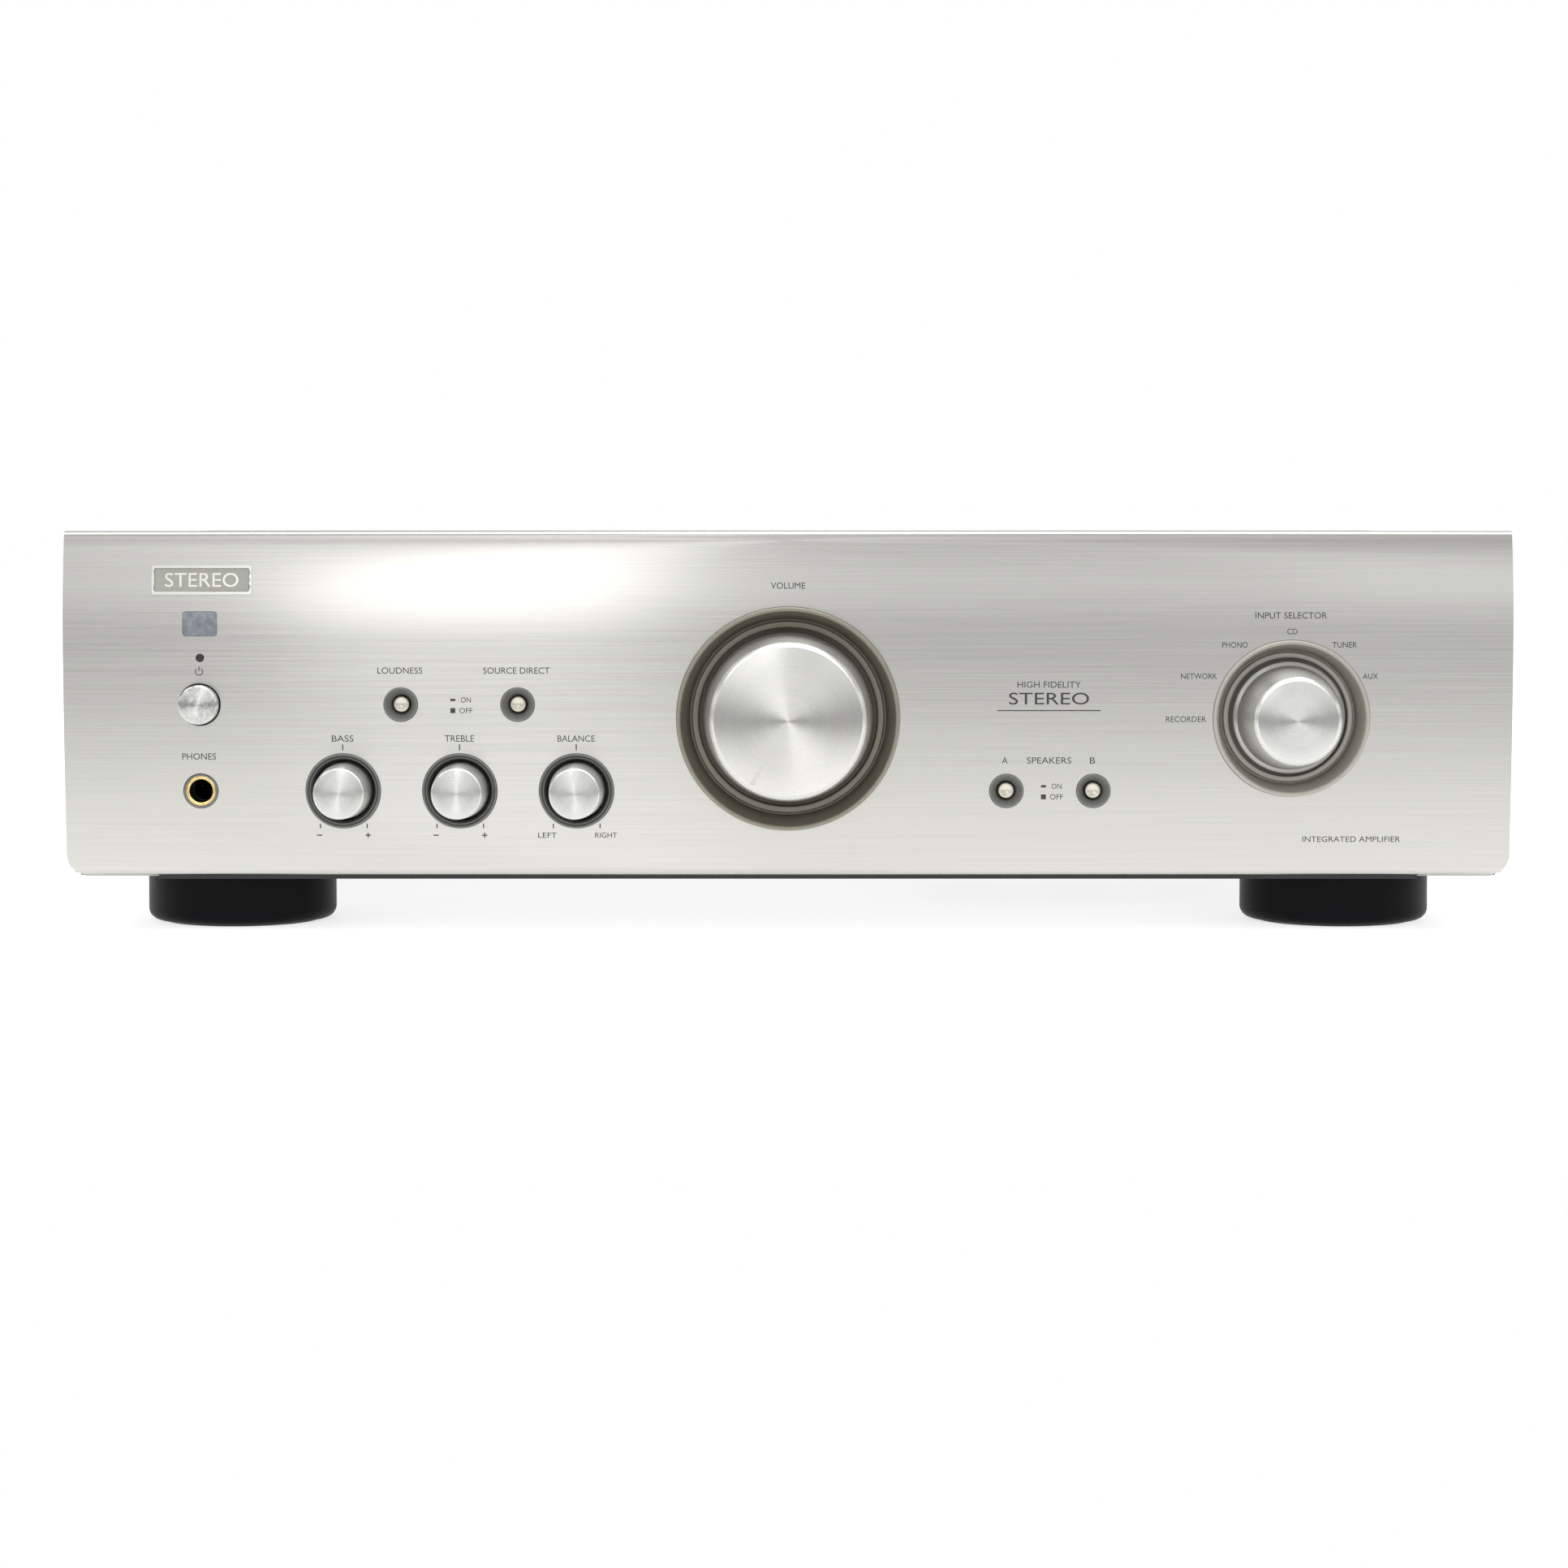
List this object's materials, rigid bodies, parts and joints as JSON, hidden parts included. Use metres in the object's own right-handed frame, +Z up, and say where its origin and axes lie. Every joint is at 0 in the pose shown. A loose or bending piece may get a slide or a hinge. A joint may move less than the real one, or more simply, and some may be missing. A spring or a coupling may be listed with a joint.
{
  "type": "integrated amplifier",
  "caption": "Full-width hi-fi amplifier: bowed brushed aluminium front with turning knobs, push buttons and headphone socket, vented cover, rear sockets and screw terminals.",
  "frame": {"origin": "on the surface that the feet stand on, at the middle of the overall width and depth", "axes": "+X to the right seen from the front, +Y from front to back, +Z up"},
  "size_m": [0.434, 0.307, 0.121],
  "materials": {
    "brushed_aluminium": "horizontal brushed, clear anodised",
    "turned_aluminium": "turned face, clear anodised",
    "button_aluminium": "satin, clear anodised",
    "trim_plastic": "moulded, olive grey",
    "cover_paint": "fine textured powder coat, silver grey",
    "chassis_zinc": "galvanised sheet",
    "rear_paint": "satin paint, silver grey",
    "frame_plastic": "moulded black",
    "screw_black": "black oxide",
    "steel": "zinc plated",
    "foot_plastic": "moulded black",
    "pad_rubber": "dense felt-like rubber",
    "led_lens": "diffused lens, unlit",
    "window_lens": "tinted lens",
    "badge_metal": "satin plate with a polished border",
    "gold_plate": "gold plated",
    "socket_plastic": "moulded black",
    "circuit_board": "phenolic laminate",
    "control_steel": "plated sheet",
    "switch_plastic": "moulded",
    "core_steel": "varnished laminations",
    "coil_tape": "polyester tape",
    "capacitor_sleeve": "printed sleeve",
    "heat_sink_black": "black anodised",
    "ground_metal": "nickel plated",
    "cap_red": "clear-coated red",
    "cap_black": "black"
  },
  "bodies": {
    "case": {"front_panel": "brushed_aluminium", "front_frame": "frame_plastic", "top_cover": "cover_paint", "chassis_tray": "chassis_zinc", "rear_panel": "rear_paint", "case_screws": "screw_black", "feet": "foot_plastic", "foot_pads": "pad_rubber", "foot_screws": "steel", "volume_bezel": "trim_plastic", "selector_bezel": "trim_plastic", "small_bezels": "trim_plastic", "power_led": "led_lens", "remote_window": "window_lens", "name_badge": "badge_metal", "phones_ring": "gold_plate", "phones_jack": "socket_plastic", "control_board": "circuit_board", "volume_pot": "control_steel", "selector_switch": "control_steel", "tone_pots": "control_steel", "push_switches": "switch_plastic", "transformer_core": "core_steel", "transformer_coil": "coil_tape", "main_board": "circuit_board", "board_standoffs": "steel", "board_relays": "socket_plastic", "capacitors": "capacitor_sleeve", "heat_sink": "heat_sink_black", "power_transistors": "socket_plastic", "input_jack_block": "socket_plastic", "input_jacks": "gold_plate", "terminal_plate": "socket_plastic", "speaker_posts": "gold_plate", "ground_post": "ground_metal", "ac_inlet": "socket_plastic"},
    "volume_control": {"volume_knob": "turned_aluminium", "volume_shaft": "steel"},
    "input_selector": {"selector_knob": "turned_aluminium", "selector_shaft": "steel"},
    "bass_control": {"bass_knob": "turned_aluminium", "bass_shaft": "steel"},
    "treble_control": {"treble_knob": "turned_aluminium", "treble_shaft": "steel"},
    "balance_control": {"balance_knob": "turned_aluminium", "balance_shaft": "steel"},
    "loudness_switch": {"loudness_button": "button_aluminium"},
    "direct_switch": {"direct_button": "button_aluminium"},
    "speaker_a_switch": {"speaker_a_button": "button_aluminium"},
    "speaker_b_switch": {"speaker_b_button": "button_aluminium"},
    "power_switch": {"power_button": "button_aluminium"},
    "terminal_cap_1": {"speaker_cap_1": "cap_black"},
    "terminal_cap_2": {"speaker_cap_2": "cap_red"},
    "terminal_cap_3": {"speaker_cap_3": "cap_red"},
    "terminal_cap_4": {"speaker_cap_4": "cap_black"},
    "terminal_cap_5": {"speaker_cap_5": "cap_black"},
    "terminal_cap_6": {"speaker_cap_6": "cap_red"},
    "terminal_cap_7": {"speaker_cap_7": "cap_red"},
    "terminal_cap_8": {"speaker_cap_8": "cap_black"},
    "earth_cap": {"ground_cap": "ground_metal"}
  },
  "joints": [
    {"name": "volume_turn", "type": "hinge", "parent": "case", "child": "volume_control", "pos_m": [0, -0.1375, 0.0648], "axis": [0, 1, 0], "range_deg": [0, 300]},
    {"name": "input_select", "type": "hinge", "parent": "case", "child": "input_selector", "pos_m": [0.1508, -0.1375, 0.0648], "axis": [0, 1, 0], "range_deg": [-90, 60]},
    {"name": "bass_turn", "type": "hinge", "parent": "case", "child": "bass_control", "pos_m": [-0.1335, -0.1375, 0.043], "axis": [0, 1, 0], "range_deg": [-198, 102]},
    {"name": "treble_turn", "type": "hinge", "parent": "case", "child": "treble_control", "pos_m": [-0.0985, -0.1375, 0.043], "axis": [0, 1, 0], "range_deg": [-142, 158]},
    {"name": "balance_turn", "type": "hinge", "parent": "case", "child": "balance_control", "pos_m": [-0.0635, -0.1375, 0.043], "axis": [0, 1, 0], "range_deg": [-150, 150]},
    {"name": "loudness_press", "type": "slide", "parent": "case", "child": "loudness_switch", "axis": [0, 1, 0], "range_m": [0, 0.0025], "stiffness_N_per_m": 200, "springref_m": -0.002},
    {"name": "direct_press", "type": "slide", "parent": "case", "child": "direct_switch", "axis": [0, 1, 0], "range_m": [0, 0.0025], "stiffness_N_per_m": 200, "springref_m": -0.002},
    {"name": "speaker_a_press", "type": "slide", "parent": "case", "child": "speaker_a_switch", "axis": [0, 1, 0], "range_m": [0, 0.0025], "stiffness_N_per_m": 200, "springref_m": -0.002},
    {"name": "speaker_b_press", "type": "slide", "parent": "case", "child": "speaker_b_switch", "axis": [0, 1, 0], "range_m": [0, 0.0025], "stiffness_N_per_m": 200, "springref_m": -0.002},
    {"name": "power_press", "type": "slide", "parent": "case", "child": "power_switch", "axis": [0, 1, 0], "range_m": [0, 0.003], "stiffness_N_per_m": 300, "springref_m": -0.002},
    {"name": "terminal_cap_1_unscrew", "type": "hinge", "parent": "case", "child": "terminal_cap_1", "pos_m": [-0.095, 0.1465, 0.094], "axis": [0, 1, 0], "range_deg": [0, 1080]},
    {"name": "terminal_cap_2_unscrew", "type": "hinge", "parent": "case", "child": "terminal_cap_2", "pos_m": [-0.07, 0.1465, 0.094], "axis": [0, 1, 0], "range_deg": [0, 1080]},
    {"name": "terminal_cap_3_unscrew", "type": "hinge", "parent": "case", "child": "terminal_cap_3", "pos_m": [-0.033, 0.1465, 0.094], "axis": [0, 1, 0], "range_deg": [0, 1080]},
    {"name": "terminal_cap_4_unscrew", "type": "hinge", "parent": "case", "child": "terminal_cap_4", "pos_m": [-0.008, 0.1465, 0.094], "axis": [0, 1, 0], "range_deg": [0, 1080]},
    {"name": "terminal_cap_5_unscrew", "type": "hinge", "parent": "case", "child": "terminal_cap_5", "pos_m": [-0.095, 0.1465, 0.062], "axis": [0, 1, 0], "range_deg": [0, 1080]},
    {"name": "terminal_cap_6_unscrew", "type": "hinge", "parent": "case", "child": "terminal_cap_6", "pos_m": [-0.07, 0.1465, 0.062], "axis": [0, 1, 0], "range_deg": [0, 1080]},
    {"name": "terminal_cap_7_unscrew", "type": "hinge", "parent": "case", "child": "terminal_cap_7", "pos_m": [-0.033, 0.1465, 0.062], "axis": [0, 1, 0], "range_deg": [0, 1080]},
    {"name": "terminal_cap_8_unscrew", "type": "hinge", "parent": "case", "child": "terminal_cap_8", "pos_m": [-0.008, 0.1465, 0.062], "axis": [0, 1, 0], "range_deg": [0, 1080]},
    {"name": "earth_cap_unscrew", "type": "hinge", "parent": "case", "child": "earth_cap", "pos_m": [0.198, 0.1415, 0.052], "axis": [0, 1, 0], "range_deg": [0, 1080]}
  ]
}
